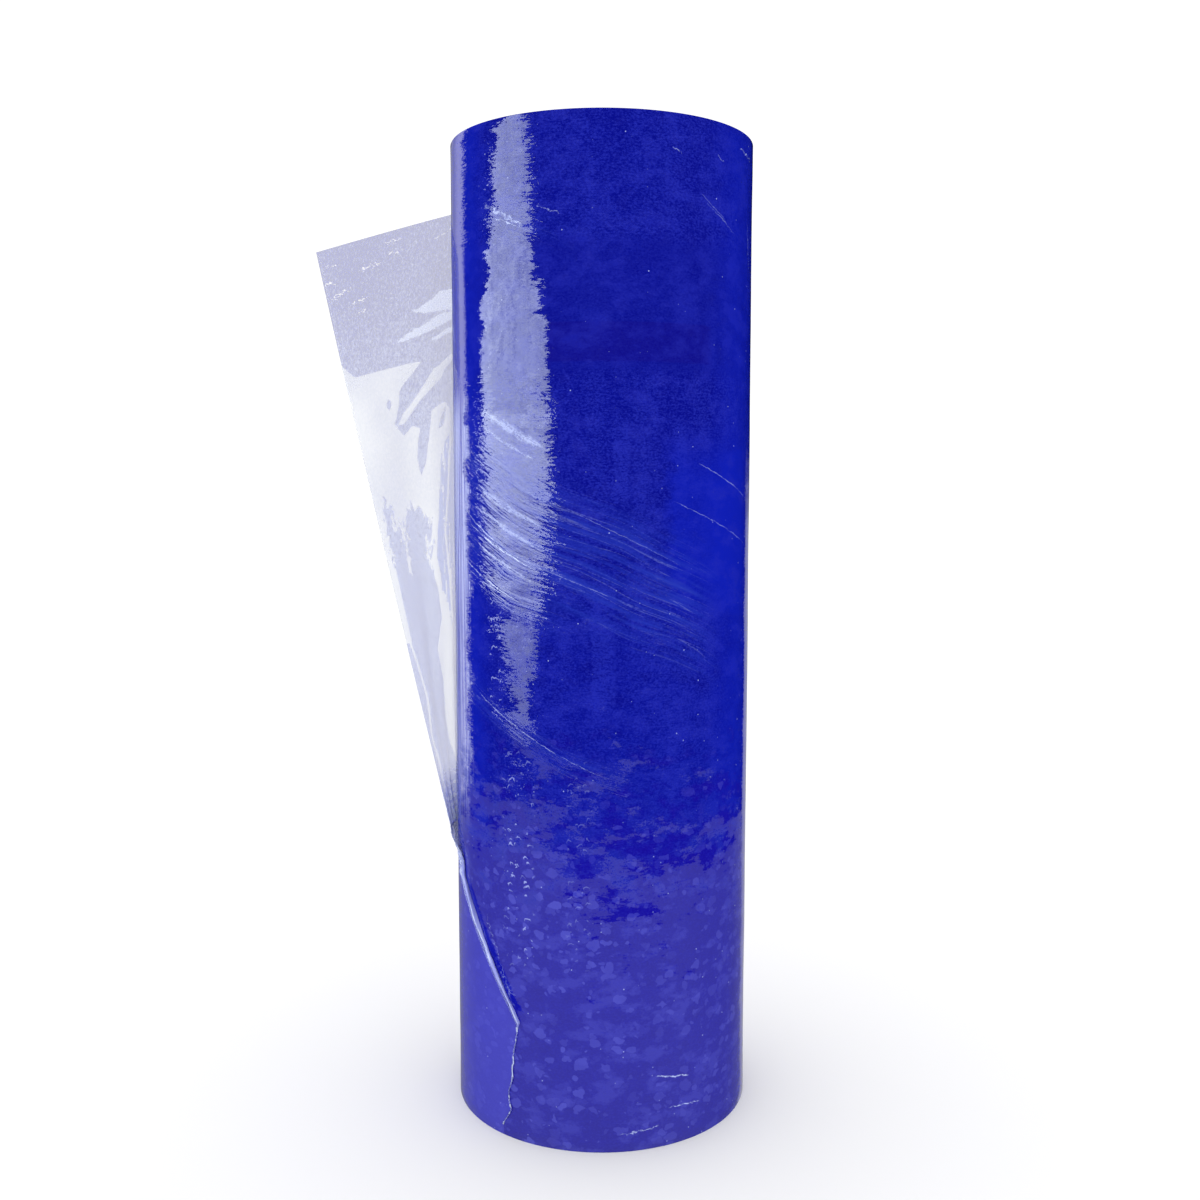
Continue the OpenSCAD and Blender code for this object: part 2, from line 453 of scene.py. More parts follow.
for from_arc, from_height, to_arc, to_height, half_width, white, crinkle in SHARP_LINES:
    run, rise = (to_arc - from_arc) / 1000, (to_height - from_height) / 1000
    length = math.hypot(run, rise)
    start = (from_arc / 1000 * run + from_height / 1000 * rise) / length
    beside = (from_height / 1000 * run - from_arc / 1000 * rise) / length
    lengthways = total(tree, (arc, run / length), (height, rise / length), -start)
    sideways = total(tree, (height, run / length), (arc, -rise / length), (unevenness, 0.006 * crinkle), -beside)
    away = calc(tree, "ABSOLUTE", sideways)
    end = calc(tree, "ABSOLUTE", calc(tree, "SUBTRACT", lengthways, length / 2))
    tapered = total(tree, away, (end, 1e-3 * half_width / length))
    line = ramp(tree, tapered, 0.4e-3 * half_width, 1.4e-3 * half_width, white, 0.0)
    line = both(tree, line, ramp(tree, end, 0.40 * length, 0.50 * length, 1.0, 0.0))
    crease_highlights = calc(tree, "MAXIMUM", crease_highlights, line)
crease_highlights = both(tree, crease_highlights, ramp(tree, total(tree, marks["Grain"], fine_creases), 0.85, 1.10, 0.15, 1.0))

# The turns at the left side have come a little loose, in folds that run up and down
upright = cloud(tree, stretched(tree, flat_place, 620, 11, 1), 1.0, 2, 0.6, "2D")
wavering = cloud(tree, stretched(tree, flat_place, 25, 60, 1), 1.0, 3, 0.6, "2D")
loosened = total(
    tree, arc, (marks["Threads"], 0.010), (wavering, 0.022), (upright, 0.010), (marks["Grain"], 0.003), -0.0225
)
loosened = both(tree, belt(tree, loosened, -0.112, -0.0765, 0.004), ramp(tree, height, 0.325, 0.350, 1.0, 0.0))
loosened_low = both(tree, ramp(tree, height, 0.13, 0.18), ramp(tree, height, 0.225, 0.265, 0.62, 1.0))
loosened = both(tree, loosened, loosened_low)

# Low on the roll more air is shut in, and the lower part is also painted hazier and paler as a reflection of the
# pale floor;
# left of the cut line there is one more layer, and the turn under it dips in a narrow band beside the gathered edge,
# with a painted shadow of the rope there
low_down = ramp(tree, total(tree, height, (marks["Blotches"], 0.22)), 0.225, 0.290, 1.0, 0.0)
columns_of_air = cloud(tree, stretched(tree, flat_place, 75, 7, 1), 1.0, 2, 0.6, "2D")
cut_side = add_node(tree, "ShaderNodeAttribute", attribute_name="past_cut_line").outputs["Fac"]
cut_side = total(tree, cut_side, (marks["Threads"], 5.0), (marks["Grain"], 2.0), -3.5)
layer = both(tree, ramp(tree, cut_side, -0.3, 0.3), belt(tree, arc, -0.094, -0.020, 0.040))
# A painted shadow of the rope: a band of deeper blue beside the gathered edge, where the turn also dips
dip_and_rope_shadow = both(tree, belt(tree, cut_side, -4.5, -1.2, 0.8), belt(tree, height, 0.066, 0.118, 0.008))
smooth_belt = belt(tree, height, 0.351, 0.402, 0.006)
# Painted side light: a richer, brighter blue towards both sides, in a patch at the right, and more of it lower down
side_light = belt(tree, total(tree, arc, (marks["Blotches"], 0.02), -0.010), 0.036, 0.075, 0.012)
side_light = both(tree, side_light, belt(tree, height, 0.262, 0.300, 0.030))
at_sides = total(tree, ramp(tree, arc, -0.072, -0.050, 0.85, 0.0), ramp(tree, arc, 0.045, 0.075, 0.0, 0.55))
at_sides = both(tree, at_sides, ramp(tree, height, 0.10, 0.16))
side_light = total(tree, (side_light, 0.7), ramp(tree, height, 0.12, 0.32, 0.32, 0.05), at_sides)

# A column of small blisters, and a few more beside the long highlight, each with a painted highlight along its upper
# rim
faint_row = both(tree, belt(tree, arc, -0.014, -0.006, 0.003), 0.3)
blister_row = calc(tree, "MAXIMUM", belt(tree, arc, -0.0455, -0.034, 0.004), faint_row)
blister_row = both(tree, blister_row, belt(tree, height, 0.100, 0.165, 0.025))
upper_row = both(tree, belt(tree, arc, -0.0565, -0.050, 0.002), belt(tree, height, 0.200, 0.245, 0.01))
blister_row = calc(tree, "MAXIMUM", blister_row, upper_row)
crooked = stretched(tree, coloured_cloud(tree, place, 420.0, 2.0), 0.0032, 0.0032, 0.0032)
crooked = moved(tree, place, crooked)


def blister_share(shift):
    """Distance from the middle of the nearest blister as a share of its size, for places moved by shift."""
    nearest = add_node(tree, "ShaderNodeTexVoronoi", {"Vector": moved(tree, crooked, shift), "Scale": 260.0})
    size = parts_of(tree, nearest.outputs["Color"])[0]
    return calc(tree, "DIVIDE", nearest.outputs["Distance"], calc(tree, "MULTIPLY_ADD", size, 0.50, 0.01))


middle_share = blister_share((0, 0, 0))
above_share = blister_share((-0.0002, 0, 0.0007))
blister_highlights = both(tree, ramp(tree, middle_share, 0.80, 1.0, 1.0, 0.0), ramp(tree, above_share, 0.85, 1.1))
blister_highlights = both(tree, blister_highlights, blister_row)

grainy = total(tree, (smooth_belt, -0.6), 1.0)
tone = total(tree, (marks["Threads"], 1.3), (marks["Blotches"], 0.6), (columns_of_air, 0.7), -1.3)
tone = both(tree, total(tree, tone, (marks["Grain"], 3.6), -1.8), grainy)
tone = total(tree, tone, (smooth_belt, -0.06), 0.36)
grainy_arc = total(tree, arc, (marks["Grain"], 0.004), -0.002)
for from_arc, to_arc, low, high in PALE_COLUMNS:
    column = both(tree, belt(tree, grainy_arc, from_arc, to_arc, 0.002), belt(tree, height, low, high, 0.008))
    tone = total(tree, tone, (column, 0.40))
base = colours(tree, within(tree, tone), DEEP_BLUE, BRIGHT_BLUE)
dark_belt = both(tree, belt(tree, height, 0.3535, 0.3690, 0.0012), belt(tree, arc, -0.022, 0.050, 0.004))
base = colours(tree, calc(tree, "MULTIPLY", dark_belt, 0.45), base, BELT_BLUE)
# Painted side light on the wall
base = colours(tree, within(tree, total(tree, side_light, (marks["Blotches"], 1.2), -0.6)), base, SIDE_LIT_BLUE)
# Painted reflection of the pale floor, together with the haze of shut-in air, low on the roll
base = colours(tree, calc(tree, "MULTIPLY", low_down, 0.5), base, HAZE_AND_FLOOR_SHEEN_BLUE)
base = colours(tree, both(tree, marks["Pockets"], total(tree, (low_down, 0.10), 0.03)), base, ISLAND_BLUE)
crowded = ramp(tree, total(tree, arc, (columns_of_air, -0.10)), -0.075, -0.010, 1.0, 0.6)
islands = both(tree, both(tree, marks["Islands"], crowded), total(tree, (low_down, 0.68), 0.04))
base = colours(tree, islands, base, ISLAND_BLUE)
base = colours(tree, calc(tree, "MULTIPLY", layer, 0.65), base, LAYER_BLUE)
base = colours(tree, within(tree, both(tree, sheaves, total(tree, (broad_creases, 2.4), -0.95))), base, SHEAF_BLUE)
base = colours(tree, both(tree, loosened, ramp(tree, upright, 0.38, 0.60, 0.14, 0.80)), base, LOOSE_TURNS)
# Painted shadow of the rope beside the gathered edge
base = colours(tree, calc(tree, "MULTIPLY", dip_and_rope_shadow, 0.6), base, ROPE_SHADOW_BLUE)
# Painted highlights on the blisters' upper rims
base = colours(tree, calc(tree, "MULTIPLY", blister_highlights, 0.75), base, BLISTER_HIGHLIGHT_BLUE)
# Painted crease highlights, and small white specks
base = colours(tree, calc(tree, "MAXIMUM", crease_highlights, calc(tree, "MULTIPLY", marks["Specks"], 0.7)), base, HIGHLIGHT_AND_SPECK_WHITE)
tree.links.new(base, shader.inputs["Base Color"])

# The threads lean the surface sideways, row by row, which frays the edges of a reflection; where the film is
# creased they follow the creases. In icy patches every speck leans its own way.
icy = within(tree, total(tree, (marks["Threads"], 4.0), (marks["Blotches"], 3.0), (sheaves, 0.2), -3.55))
icy = both(tree, icy, ramp(tree, smooth_belt, 0.0, 1.0, 1.0, 0.12))
tree.links.new(total(tree, (icy, 0.10), 0.03), shader.inputs["Roughness"])
specks_lean = parts_of(tree, coloured_cloud(tree, place, 1300.0, 1.0))
speck_size = total(tree, (icy, 0.60), 0.05)
surface = tree.nodes.new("ShaderNodeNewGeometry").outputs["Normal"]
facing = add_node(tree, "ShaderNodeSeparateXYZ", {0: surface}).outputs
lively = total(tree, (smooth_belt, -0.68), 1.0)
sideways = both(tree, total(tree, (marks["Threads"], 0.34), (marks["Grain"], 0.16), -0.25), lively)
sideways = total(
    tree,
    sideways,
    (both(tree, sheaves, total(tree, fine_creases, -0.5)), 0.42),
    both(tree, total(tree, specks_lean[0], -0.5), speck_size),
)
sideways = both(tree, sideways, ramp(tree, calc(tree, "ABSOLUTE", arc), 0.074, 0.092, 1.0, 0.15))
slow_lean = cloud(tree, stretched(tree, place, 1, 1, 2.2), 55, 3, 0.65)
upwards = total(
    tree,
    (slow_lean, 0.26),
    (marks["Threads"], 0.08),
    (dip_and_rope_shadow, 0.22),
    ramp(tree, arc, -0.035, -0.012, -0.190, -0.157),
    (both(tree, total(tree, specks_lean[1], -0.5), speck_size), 0.6),
)
lean_x = both(tree, calc(tree, "MULTIPLY", facing["Y"], -1.0), sideways)
lean_y = both(tree, facing["X"], sideways)
lean = add_node(tree, "ShaderNodeCombineXYZ", {"X": lean_x, "Y": lean_y, "Z": upwards}).outputs[0]
leaning = add_node(tree, "ShaderNodeVectorMath", {0: moved(tree, surface, lean)}, operation="NORMALIZE").outputs[0]

# Relief: the creases and the upright folds
relief = total(
    tree,
    (both(tree, broad_creases, sheaves), 3.0),
    (both(tree, fine_creases, sheaves), 1.6),
    (both(tree, upright, loosened), 4.0),
)
bump = add_node(tree, "ShaderNodeBump", {"Height": relief, "Distance": 0.00006, "Strength": 1.0, "Normal": leaning})
tree.links.new(bump.outputs["Normal"], shader.inputs["Normal"])
wound.data.materials.append(wall)

# The ends show the edges of the turns: fine rings, darker and less glossy than the wall
END_DARK = (0.002, 0.002, 0.12)
END_BLUE = (0.012, 0.012, 0.36)

ends_material, tree, shader, place = start_material("wound_film_ends")
radius, angle, height = round_the_axis(tree, place)
outwards = calc(tree, "MULTIPLY", radius, 1400.0)
ring_place = add_node(tree, "ShaderNodeCombineXYZ", {"X": outwards, "Y": angle, "Z": height}).outputs[0]
rings = cloud(tree, ring_place, 1.0, 4, 0.7)
outwards = calc(tree, "MULTIPLY", radius, 220.0)
wide_place = add_node(tree, "ShaderNodeCombineXYZ", {"X": outwards, "Y": 0.0, "Z": 0.0}).outputs[0]
wide_rings = cloud(tree, wide_place, 1.0, 2, 0.6)
tone = ramp(tree, total(tree, (rings, 0.6), (wide_rings, 0.7)), 0.45, 0.85)
base = colours(tree, tone, END_DARK, END_BLUE)
tree.links.new(base, shader.inputs["Base Color"])
shader.inputs["Roughness"].default_value = 0.38
raise_surface(tree, shader, calc(tree, "ADD", rings, wide_rings), 0.00012)
wound.data.materials.append(ends_material)
for face in wound.data.polygons:
    rim = math.hypot(face.center.x, face.center.y)
    face.material_index = 1 if rim < ROLL_RADIUS - 0.0006 else 0

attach(wound, "root")
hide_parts("film")


# Loose end of the film.
# The last part of the web has come off the roll: a single thin layer, nearly clear, hanging out at the left.
# It hangs from the line along which it peels off the roll and is drawn together at a knot low on the roll's side.
# Its cut edge goes on from the knot as a twisted rope, and below that it lies on the roll as a thin crumpled strip.
TAIL_REACH = 0.1515
CORNER_DROP = 0.035
LEVEL_RUN = 0.030
EDGE_BOW = 0.010
FOLD_DEPTH = 0.003
FOLDS = 3
KNOT_HEIGHT = 0.134
KNOT_TURN = 97.0
KNOT_LIFT = 0.0035
GATHER_TURN = 27.0
ROPE_FOOT = 0.056
FOOT_TURN = 148.0
ROOT_SINK = 0.0015
EDGE_INSET = 0.0006
PEEL_POWER = 1.5
FILM_THICKNESS = 0.00012
SHEET_ROWS = 300
COLUMNS = 114
ROPE_ROWS = 84
STRIP_ROWS = 40


def mix(a, b, k):
    return a + (b - a) * k


def ease(k):
    k = np.clip(k, 0.0, 1.0)
    return k * k * (3 - 2 * k)


def bezier(p, q, r, k):
    return p * (1 - k) ** 2 + q * 2 * k * (1 - k) + r * k**2


def on_roll(turn, radius, height):
    turn, radius, height = np.broadcast_arrays(np.radians(turn), radius, height)
    return np.stack([-radius * np.sin(turn), radius * np.cos(turn), height], axis=-1)


def peel_turn(u):
    return (KNOT_TURN - GATHER_TURN) * u**PEEL_POWER


def sheet_surface(u, s):
    """u goes down from the upper edge (0) to the knot (1), and s out from the roll (0) to the cut edge (1)."""
    corner = np.array([-TAIL_REACH, ROLL_RADIUS, FILM_WIDTH - CORNER_DROP])
    knot = on_roll(KNOT_TURN, ROLL_RADIUS + KNOT_LIFT, KNOT_HEIGHT)
    bow = (corner + knot) / 2 - [0, EDGE_BOW, 0]
    turn = peel_turn(u)
    root = on_roll(turn, ROLL_RADIUS - ROOT_SINK, mix(FILM_WIDTH - EDGE_INSET, KNOT_HEIGHT, u))
    heading = np.stack([-np.cos(np.radians(turn)), -np.sin(np.radians(turn)), 0 * turn], axis=-1)
    edge = bezier(corner, bow, knot, u[..., None])
    lead = mix(LEVEL_RUN, np.linalg.norm(edge - root, axis=-1) / 2, u)[..., None]
    return bezier(root, root + heading * lead, edge, s[..., None])


def forwards(u, s):
    """Level direction square to the sheet, on the side that faces the front."""
    step = sheet_surface(u, np.minimum(s + 0.02, 1)) - sheet_surface(u, np.maximum(s - 0.02, 0))
    across = np.stack([-step[..., 1], step[..., 0], 0 * u], axis=-1)
    return across / np.maximum(np.linalg.norm(across, axis=-1, keepdims=True), 1e-9)


# Facets of the sheet that lean to the light and look white, as outlines in millimetres across (x) and up (z)
BROAD_FACET = (
    (-134, 360), (-128, 355), (-114, 359), (-99, 363), (-94, 364), (-98, 358), (-102, 353), (-105, 348), (-105, 341),
    (-106, 334), (-107, 331), (-102, 325), (-98, 330), (-94, 329), (-95, 321), (-95, 313), (-93, 304), (-91, 311),
    (-90, 323), (-89, 332), (-89, 338), (-85, 341), (-82, 343), (-80, 340), (-79, 337), (-79, 327), (-82, 322),
    (-83, 307), (-84, 292), (-85, 277), (-85, 263), (-83, 254), (-79, 235), (-76, 217), (-75, 197), (-73, 163),
    (-74, 160), (-78, 182), (-80, 202), (-83, 217), (-82, 233), (-84, 247), (-88, 261), (-88, 283), (-93, 286),
    (-97, 290), (-100, 282), (-98, 269), (-95, 251), (-97, 256), (-100, 269), (-103, 282), (-104, 275), (-107, 286),
    (-111, 292), (-109, 277), (-105, 262), (-99, 238), (-95, 222), (-96, 221), (-100, 221), (-109, 250), (-114, 266),
    (-125, 299), (-134, 333), (-141, 366),
)
WHITE_FACETS = (
    BROAD_FACET,
    ((-78, 369), (-86, 361), (-88, 360), (-93, 351), (-98, 343), (-103, 336), (-105, 330), (-102, 331), (-94, 344),
     (-84, 355), (-82, 360), (-78, 365)),
)
PALE_FACETS = (
    ((-74, 403), (-85, 401), (-89, 397), (-93, 394), (-96, 392), (-100, 390), (-93, 389), (-87, 390), (-74, 392)),
    ((-74, 392), (-85, 389), (-92, 384), (-101, 379), (-108, 373), (-104, 374), (-96, 377), (-89, 380), (-74, 389)),
    ((-74, 386), (-83, 380), (-90, 375), (-86, 375), (-82, 378), (-74, 382)),
    ((-82, 327), (-79, 327), (-76, 300), (-75, 217), (-78, 222), (-83, 254), (-85, 263), (-85, 277), (-84, 292),
     (-83, 307)),
)
SLITS = (
    ((-110, 345), (-108.7, 341), (-110, 337), (-111.3, 341)),
    ((-81.5, 340), (-84, 335), (-85, 329), (-83, 330), (-81.5, 336)),
)
# Fine folds with a painted highlight along each, as a line with its half width
BRIGHT_FOLDS = (
    (((-96, 222), (-92, 211), (-87, 195), (-84, 176), (-80, 162), (-77, 147), (-75, 138)), 0.45),
    (((-79, 326), (-80, 302), (-81.5, 276), (-79, 252), (-77, 221), (-75, 192)), 0.55),
    (((-76.5, 330), (-77.5, 300), (-77, 262), (-75.5, 215)), 0.5),
    (((-81, 322), (-82.8, 296), (-82.5, 268), (-80, 242), (-77.5, 220)), 0.3),
    (((-75.2, 342), (-75.8, 312), (-75.6, 284), (-74.6, 250)), 0.35),
    (((-80.3, 318), (-79.8, 292), (-79.3, 270), (-77.8, 246)), 0.3),
    (((-89, 428.5), (-83, 431.5), (-77, 436)), 0.35),
)
# Deep folds, where the film stands on edge and looks bluer
DEEP_FOLDS = (
    (((-76.4, 346), (-76.8, 322), (-77.2, 296), (-76.4, 262), (-75.4, 232)), 0.55),
    (((-75.0, 300), (-74.9, 262), (-74.6, 226)), 0.6), (((-78.4, 318), (-79.0, 300), (-79.4, 282)), 0.35),
    (((-83.4, 316), (-84.2, 290), (-84.0, 268), (-81.8, 246)), 0.4),
)
# Small broken glints near the loose corner
FLECKS = (
    ((-127, 412), (-123, 414.5), (-118, 415.5)), ((-141, 397), (-138, 399), (-133, 403)),
    ((-131, 393), (-128, 395.5), (-123, 397.5)), ((-146, 404), (-140, 406)), ((-114, 427), (-107, 428.5)),
    ((-112, 421.5), (-106, 422.5)), ((-129, 390), (-124, 390.5)), ((-146, 414), (-140, 414.5)),
)


def distance_to_line(x, z, points):
    nearest = np.full(x.shape, 1e9)
    for (ax, az), (bx, bz) in zip(points[:-1], points[1:]):
        dx, dz = bx - ax, bz - az
        k = np.clip(((x - ax) * dx + (z - az) * dz) / (dx * dx + dz * dz), 0, 1)
        nearest = np.minimum(nearest, np.hypot(x - ax - k * dx, z - az - k * dz))
    return nearest


def depth_inside(x, z, outline):
    """Distance in from the outline, and less than 0 outside it."""
    closed = outline + outline[:1]
    inside = np.zeros(x.shape, bool)
    for (ax, az), (bx, bz) in zip(closed[:-1], closed[1:]):
        if az != bz:
            crosses = (az > z) != (bz > z)
            inside ^= crosses & (x < (bx - ax) * (z - az) / (bz - az) + ax)
    return np.where(inside, 1, -1) * distance_to_line(x, z, closed)


def facet_depths(points):
    x, z = points[..., 0] * 1000, points[..., 2] * 1000
    white = np.maximum.reduce([depth_inside(x, z, outline) for outline in WHITE_FACETS])
    for slit in SLITS:
        white = np.minimum(white, -depth_inside(x, z, slit))
    for line, half_width in BRIGHT_FOLDS:
        white = np.maximum(white, half_width - distance_to_line(x, z, line))
    pale = np.maximum.reduce([depth_inside(x, z, outline) for outline in PALE_FACETS])
    for line, half_width in DEEP_FOLDS:
        fold = half_width - distance_to_line(x, z, line)
        white, pale = np.minimum(white, -fold), np.maximum(pale, fold)
    return white, pale


u, s_sheet = np.meshgrid(np.linspace(0, 1, SHEET_ROWS + 1), np.linspace(0, 1, COLUMNS + 1), indexing="ij")
smooth_sheet = sheet_surface(u, s_sheet)
white, pale = facet_depths(smooth_sheet)
out = np.sin(np.pi * u) * np.sin(np.pi * s_sheet)
lift = FOLD_DEPTH * out * np.sin(2 * np.pi * FOLDS * s_sheet + np.radians(150) * u)
pleats = np.sin(np.pi * s_sheet) * np.sin(2 * np.pi * (8.5 * s_sheet + 0.35 * np.sin(5 * u)))
lift += 0.0010 * ease((u - 0.35) / 0.6) * pleats
lift += 0.0009 * out * (ease(white / 5 + 0.5) + 0.5 * ease(pale / 4 + 0.5))
sheet_points = smooth_sheet + forwards(u, s_sheet) * lift[..., None]

# Gather and rope: v goes from the knot (0) along the rope to its foot (1). Near the knot the film is crumpled.
# Further on, the part next to the roll lies flat in pleats and the part by the cut edge is rolled up as the rope.
v, s = np.meshgrid(np.arange(1, ROPE_ROWS + 1) / ROPE_ROWS, np.linspace(0, 1, COLUMNS + 1), indexing="ij")
rng = np.random.default_rng(11)


def wander(count, knots):
    """A row of smooth random numbers from -1 to 1."""
    return np.interp(np.linspace(0, 1, count), np.linspace(0, 1, knots), rng.uniform(-1, 1, knots))


def crumpled(down, across, seeds=9):
    """Smooth random dents, from about -1 to 1, over two coordinates in dent widths."""
    dents = np.zeros(np.broadcast(down, across).shape)
    for _ in range(seeds):
        turned, size, phase = rng.uniform(0, math.pi), rng.uniform(0.7, 2.2), rng.uniform(0, 2 * math.pi)
        wave = np.sin(2 * np.pi * size * (down * math.cos(turned) + across * math.sin(turned)) + phase)
        dents += np.abs(wave) * 2 - 1.27
    return dents / math.sqrt(seeds)


ROLLED_SHARE = 0.62
bulge = np.sin(np.pi * np.clip((v - 0.02) / 0.36, 0, 1)) ** 2
rope_turn = bezier(KNOT_TURN, mix(KNOT_TURN, FOOT_TURN, 0.43), FOOT_TURN, v) + 5.5 * bulge
rope_turn = rope_turn + 0.25 * wander(ROPE_ROWS, 30)[:, None] * ease(v / 0.3) * ease((1 - v) / 0.05)
rope_height = bezier(KNOT_HEIGHT, mix(KNOT_HEIGHT, ROPE_FOOT, 0.25), ROPE_FOOT, v)
drawn = ease(v / 0.35)
rope_radius = mix(0.0013, 0.0006, v) * (1 + 0.25 * wander(ROPE_ROWS, 26)[:, None])
width = mix(mix(GATHER_TURN, 6.0, drawn), 1.2, np.clip((v - 0.3) / 0.7, 0, 1))
spread = mix(s, np.minimum(s / ROLLED_SHARE, 1.0), drawn)
pleats = np.abs((spread * 5 + 0.3 * wander(ROPE_ROWS, 9)[:, None]) % 1 - 0.5) * 2
flat_part = on_roll(
    rope_turn - width * (1 - spread),
    ROLL_RADIUS + mix(mix(-ROOT_SINK, KNOT_LIFT, s), -0.0002 + 0.0007 * ease(spread / 0.1), drawn)
    + 0.0005 * pleats * ease(v / 0.12) * ease(spread / 0.15),
    rope_height,
)
middle = on_roll(rope_turn, ROLL_RADIUS + 0.8 * rope_radius, rope_height)
outwards = on_roll(rope_turn, 1.0, 0.0)
outwards[..., 2] = 0
run = np.gradient(middle, axis=0)
run /= np.linalg.norm(run, axis=-1, keepdims=True)
beside = np.cross(run, outwards)
round_rope = np.pi + 2 * np.pi * 1.25 * np.clip((s - ROLLED_SHARE) / (1 - ROLLED_SHARE), 0, 1)
thick = rope_radius * (1 + 0.22 * np.sin(2 * np.pi * 9 * s + 16 * v))
rolled = middle + outwards * (thick * np.sin(round_rope))[..., None]
rolled = rolled + beside * (thick * np.cos(round_rope))[..., None]
is_rolled = ease((s - ROLLED_SHARE) / 0.06) * ease((v - 0.04) / 0.30)
rope_points = mix(flat_part, rolled, is_rolled[..., None])
rope_crumple = crumpled(v * 14, s * 7) * 0.00022 * (1 - ease((v - 0.1) / 0.35)) * ease(s / 0.2)
rope_points = rope_points + outwards * rope_crumple[..., None]

# The last few centimetres of the sheet above the knot are crumpled too
near_knot = ease((u - 0.90) / 0.10) * ease(s_sheet / 0.2)
sheet_points = sheet_points + forwards(u, s_sheet) * (crumpled(u * 40, s_sheet * 7) * 0.00018 * near_knot)[..., None]

# Strip: below the rope the cut edge lies flat on the roll, crumpled, and runs down to the roll's foot
STRIP_LINE = ((148, 56), (147, 50), (145.6, 40), (145, 31), (143, 20), (144.4, 14), (140, 5))
w, s = np.meshgrid(np.arange(1, STRIP_ROWS + 1) / STRIP_ROWS, np.linspace(0, 1, COLUMNS + 1), indexing="ij")
stations = np.linspace(0, 1, len(STRIP_LINE))
strip_turn = np.interp(w, stations, [turn for turn, height in STRIP_LINE]) + 0.35 * wander(STRIP_ROWS, 30)[:, None]
strip_height = np.interp(w, stations, [height / 1000 for turn, height in STRIP_LINE])
ragged = wander(STRIP_ROWS, 36)[:, None]
strip_width = 0.50 + 0.26 * ragged
crumple = 0.00012 * (1 + crumpled(w * 22, s * 1.5))
strip_points = on_roll(strip_turn - strip_width * (0.5 - s), ROLL_RADIUS + 0.0003 + crumple, strip_height)
last_rope = rope_points[-1][None]
strip_points = mix(last_rope + (strip_points - strip_points[:1]), strip_points, ease(w / 0.12)[..., None])

rows = np.concatenate([sheet_points, rope_points, strip_points])
fleck = np.full(rows.shape[:2], 9.0)
for line in FLECKS:
    near = distance_to_line(smooth_sheet[..., 0] * 1000, smooth_sheet[..., 2] * 1000, line)
    fleck[: SHEET_ROWS + 1] = np.minimum(fleck[: SHEET_ROWS + 1], near)
hem_lines = np.maximum(np.sin(2 * np.pi * (s[:1] - 0.70) / 0.13), 0) * (s[:1] > ROLLED_SHARE) - 0.80
knot_crumples = 0.8 * crumpled(v * 20, s[:1] * 8) + 0.10
glint = mix(knot_crumples, hem_lines + 0.3 * wander(ROPE_ROWS, 40)[:, None], ease((v - 0.15) / 0.3))
strip_glint = 1.2 * wander(STRIP_ROWS, 34)[:, None] + 0 * s
knot_glint = np.where(u > 0.9, 0.8 * crumpled(u * 40, s_sheet * 9) + 0.4 - 1.4 * (1 - near_knot), -1e3)
white = np.concatenate([np.maximum(white, knot_glint), glint, strip_glint])
pale = np.concatenate([pale, 0 * glint - 5.0, 0 * strip_glint - 5.0])
on_wall = np.concatenate([ease((u - 0.88) / 0.12), mix(0.6, 1.0, ease(v / 0.4)), 0 * strip_glint + 1.0])
knotted = 0.8 * (1 - ease(v / 0.25))
strip_rolled = (1 - ease(w / 0.15)) * (s > 0.5)
rolled_up = np.concatenate([0.8 * ease((u - 0.90) / 0.08), np.maximum(is_rolled, knotted), strip_rolled])

columns = COLUMNS + 1
corners = [(i * columns + j) for i in range(len(rows) - 1) for j in range(COLUMNS)]
faces = [(a, a + columns, a + columns + 1, a + 1) for a in corners]
loose_mesh = bpy.data.meshes.new("loose_end")
loose_mesh.from_pydata(rows.reshape(-1, 3).tolist(), [], faces)
for name, values in (
    ("white_facet", white), ("pale_facet", pale), ("on_wall", on_wall), ("rolled_up", rolled_up), ("fleck", fleck)
):
    attribute = loose_mesh.attributes.new(name, "FLOAT", "POINT")
    attribute.data.foreach_set("value", values.astype(np.float32).ravel())
loose_end = bpy.data.objects.new("loose_end", loose_mesh)
bpy.context.scene.collection.objects.link(loose_end)
select_nothing()
loose_end.select_set(True)
bpy.context.view_layer.objects.active = loose_end
bpy.ops.object.mode_set(mode="EDIT")
bpy.ops.mesh.select_all(action="SELECT")
bpy.ops.mesh.normals_make_consistent(inside=False)
bpy.ops.object.mode_set(mode="OBJECT")
solidify = loose_end.modifiers.new("film_thickness", "SOLIDIFY")
solidify.thickness = FILM_THICKNESS
solidify.offset = 0.0
bpy.ops.object.modifier_apply(modifier="film_thickness")
bpy.ops.object.shade_smooth()

# One layer is a pale blue-grey that you see through, with a fine upright grain. Its shading is painted by height:
# bluer higher up, where it hangs steeply, and paler lower down, where it leans to the light; the facets that lean to
# the light are painted white as the light's reflection. Where it lies on the wall the blue under it shines through.
LAYER_ALPHA = 0.33
ROLLED_ALPHA = 0.80
SHADED_STEEP_GREY = (0.00, 0.014, 0.39)
LIT_LEANING_GREY = (0.41, 0.48, 0.80)
LAYER_PALE = (0.20, 0.30, 0.80)
LAYER_PALE_HIGH = (0.64, 0.72, 0.97)
LAYER_WHITE = (0.86, 0.89, 0.93)
LAYER_WHITE_HIGH = (0.62, 0.66, 0.80)
WALL_WHITE = (0.62, 0.70, 1.0)
GLINT_WHITE = (1.0, 1.0, 1.0)
WALL_LAYER = (0.36, 0.40, 0.92)

